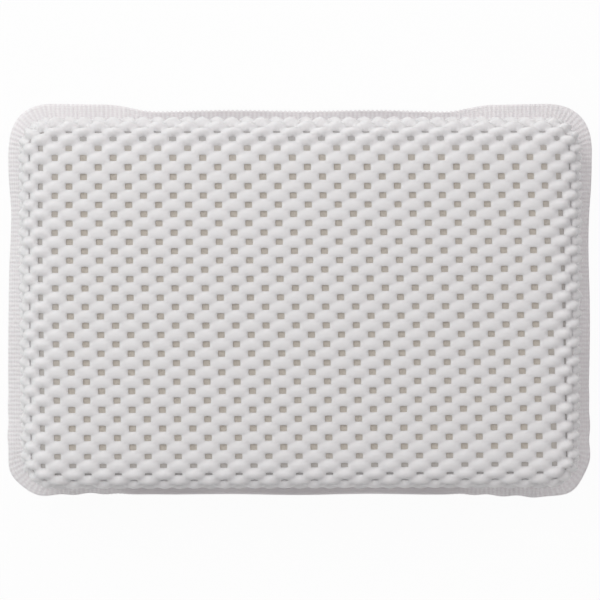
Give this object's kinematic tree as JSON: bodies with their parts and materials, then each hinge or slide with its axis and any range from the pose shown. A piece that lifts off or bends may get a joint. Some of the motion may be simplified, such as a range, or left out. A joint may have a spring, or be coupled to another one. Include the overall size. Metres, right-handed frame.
{
  "type": "bath pillow",
  "caption": "Rectangular padded bath headrest: foam core under a white lozenge-mesh cover, thin ribbed welded rim all round, suction cups on the film back that hold it to a tub.",
  "frame": {"origin": "under the middle of the pillow, on the plane of the suction-cup lips", "axes": "+X along the long sides, +Y along the short sides towards the picture's top, +Z out of the padded face"},
  "size_m": [0.33, 0.2221, 0.0692],
  "materials": {
    "mesh_pvc": "soft foamed PVC on an open mesh, satin white",
    "film_pvc": "soft white PVC film, fine satin grain",
    "foam": "open-cell polyurethane foam, cream",
    "clear_pvc": "clear soft PVC, glossy",
    "patch_pvc": "white PVC sheet, satin",
    "washer_plastic": "moulded white plastic"
  },
  "bodies": {
    "pillow": {"front_cover": "mesh_pvc", "foam_core": "foam", "back_panel": "film_pvc", "cup_patch_upper_left": "patch_pvc", "cup_patch_upper_middle": "patch_pvc", "cup_patch_upper_right": "patch_pvc", "cup_patch_lower_left": "patch_pvc", "cup_patch_lower_middle": "patch_pvc", "cup_patch_lower_right": "patch_pvc", "cup_washer_upper_left": "washer_plastic", "cup_washer_upper_middle": "washer_plastic", "cup_washer_upper_right": "washer_plastic", "cup_washer_lower_left": "washer_plastic", "cup_washer_lower_middle": "washer_plastic", "cup_washer_lower_right": "washer_plastic"},
    "cup_upper_left": {"suction_cup_upper_left": "clear_pvc"},
    "cup_upper_middle": {"suction_cup_upper_middle": "clear_pvc"},
    "cup_upper_right": {"suction_cup_upper_right": "clear_pvc"},
    "cup_lower_left": {"suction_cup_lower_left": "clear_pvc"},
    "cup_lower_middle": {"suction_cup_lower_middle": "clear_pvc"},
    "cup_lower_right": {"suction_cup_lower_right": "clear_pvc"}
  },
  "joints": [
    {"name": "cup_swivel_upper_left", "type": "hinge", "parent": "pillow", "child": "cup_upper_left", "pos_m": [-0.104, 0.058, 0.014], "axis": [0, 0, 1], "continuous": true},
    {"name": "cup_swivel_upper_middle", "type": "hinge", "parent": "pillow", "child": "cup_upper_middle", "pos_m": [0, 0.058, 0.014], "axis": [0, 0, 1], "continuous": true},
    {"name": "cup_swivel_upper_right", "type": "hinge", "parent": "pillow", "child": "cup_upper_right", "pos_m": [0.104, 0.058, 0.014], "axis": [0, 0, 1], "continuous": true},
    {"name": "cup_swivel_lower_left", "type": "hinge", "parent": "pillow", "child": "cup_lower_left", "pos_m": [-0.104, -0.058, 0.014], "axis": [0, 0, 1], "continuous": true},
    {"name": "cup_swivel_lower_middle", "type": "hinge", "parent": "pillow", "child": "cup_lower_middle", "pos_m": [0, -0.058, 0.014], "axis": [0, 0, 1], "continuous": true},
    {"name": "cup_swivel_lower_right", "type": "hinge", "parent": "pillow", "child": "cup_lower_right", "pos_m": [0.104, -0.058, 0.014], "axis": [0, 0, 1], "continuous": true}
  ]
}
